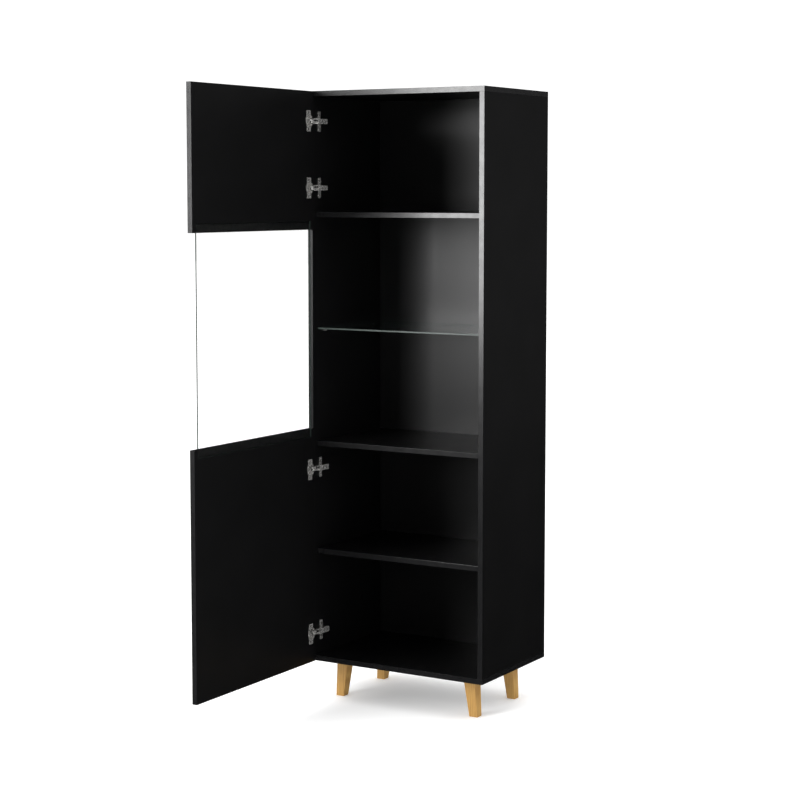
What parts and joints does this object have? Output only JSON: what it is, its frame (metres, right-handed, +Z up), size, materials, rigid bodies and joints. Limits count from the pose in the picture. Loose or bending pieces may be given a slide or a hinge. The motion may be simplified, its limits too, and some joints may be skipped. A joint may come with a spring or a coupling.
{
  "type": "china cabinet",
  "caption": "Tall narrow display cabinet on splayed tapered legs, with one hinged full-height door that has a clear glass middle, and wooden and glass shelves inside.",
  "frame": {"origin": "on the floor, under the middle of the bounding box of the cabinet with its door open at a right angle", "axes": "+Z up; +Y from the open front to the back; +X from the hinge side to the free side, so the front faces -Y"},
  "size_m": [0.6, 1.0046, 1.844],
  "materials": {
    "black_laminate": "satin black laminate on particleboard",
    "back_board": "satin black painted hardboard",
    "birch_dowel": "raw fluted birch",
    "clear_glass": "clear float glass with polished edges",
    "oak": "clear matt lacquer on oak",
    "shelf_pin_steel": "nickel-plated steel",
    "zinc_steel": "zinc-plated steel",
    "hinge_nickel": "nickel-plated pressed steel",
    "clear_tape": "clear acrylic foam tape"
  },
  "bodies": {
    "carcass": {"bottom_panel": "black_laminate", "top_panel": "black_laminate", "left_side_panel": "black_laminate", "right_side_panel": "black_laminate", "back_panel": "back_board", "corner_dowel_bottom_left_front": "birch_dowel", "corner_dowel_bottom_left_rear": "birch_dowel", "corner_dowel_bottom_right_front": "birch_dowel", "corner_dowel_bottom_right_rear": "birch_dowel", "corner_dowel_top_left_front": "birch_dowel", "corner_dowel_top_left_rear": "birch_dowel", "corner_dowel_top_right_front": "birch_dowel", "corner_dowel_top_right_rear": "birch_dowel", "upper_fixed_shelf": "black_laminate", "middle_fixed_shelf": "black_laminate", "lower_adjustable_shelf": "black_laminate", "glass_shelf": "clear_glass", "glass_shelf_pin_left_front": "shelf_pin_steel", "glass_shelf_pin_left_rear": "shelf_pin_steel", "glass_shelf_pin_right_front": "shelf_pin_steel", "glass_shelf_pin_right_rear": "shelf_pin_steel", "lower_shelf_pin_left_front": "shelf_pin_steel", "lower_shelf_pin_left_rear": "shelf_pin_steel", "lower_shelf_pin_right_front": "shelf_pin_steel", "lower_shelf_pin_right_rear": "shelf_pin_steel", "leg_front_left": "oak", "leg_front_right": "oak", "leg_rear_left": "oak", "leg_rear_right": "oak", "leg_bolt_front_left": "zinc_steel", "leg_bolt_front_right": "zinc_steel", "leg_bolt_rear_left": "zinc_steel", "leg_bolt_rear_right": "zinc_steel", "hinge_plate_1": "hinge_nickel", "hinge_plate_2": "hinge_nickel", "hinge_plate_3": "hinge_nickel", "hinge_plate_4": "hinge_nickel", "hinge_arm_1": "hinge_nickel", "hinge_arm_2": "hinge_nickel", "hinge_arm_3": "hinge_nickel", "hinge_arm_4": "hinge_nickel"},
    "outer_links": {"hinge_outer_link_1": "hinge_nickel", "hinge_outer_link_2": "hinge_nickel", "hinge_outer_link_3": "hinge_nickel", "hinge_outer_link_4": "hinge_nickel"},
    "inner_links": {"hinge_inner_link_1": "hinge_nickel", "hinge_inner_link_2": "hinge_nickel", "hinge_inner_link_3": "hinge_nickel", "hinge_inner_link_4": "hinge_nickel"},
    "door": {"door_upper_panel": "black_laminate", "door_lower_panel": "black_laminate", "door_glass": "clear_glass", "upper_glazing_tape": "clear_tape", "lower_glazing_tape": "clear_tape", "hinge_cup_1": "hinge_nickel", "hinge_cup_2": "hinge_nickel", "hinge_cup_3": "hinge_nickel", "hinge_cup_4": "hinge_nickel"}
  },
  "joints": [
    {"name": "outer_link_turn", "type": "hinge", "parent": "carcass", "child": "outer_links", "pos_m": [-0.26991, 0.11425, 0.982], "axis": [0, 0, 1], "range_deg": [-36.42, 2.06]},
    {"name": "door_swing", "type": "hinge", "parent": "outer_links", "child": "door", "pos_m": [-0.27723, 0.08808, 0.982], "axis": [0, 0, -1], "range_deg": [-126.39, 7.02]},
    {"name": "inner_link_turn", "type": "hinge", "parent": "carcass", "child": "inner_links", "pos_m": [-0.2782, 0.10047, 0.982], "axis": [0, 0, 1], "range_deg": [-59, 3.3]}
  ],
  "couplings": [
    {"joint": "outer_link_turn", "follows": "door_swing", "ratio": 0.28792},
    {"joint": "inner_link_turn", "follows": "door_swing", "ratio": 0.46657}
  ]
}
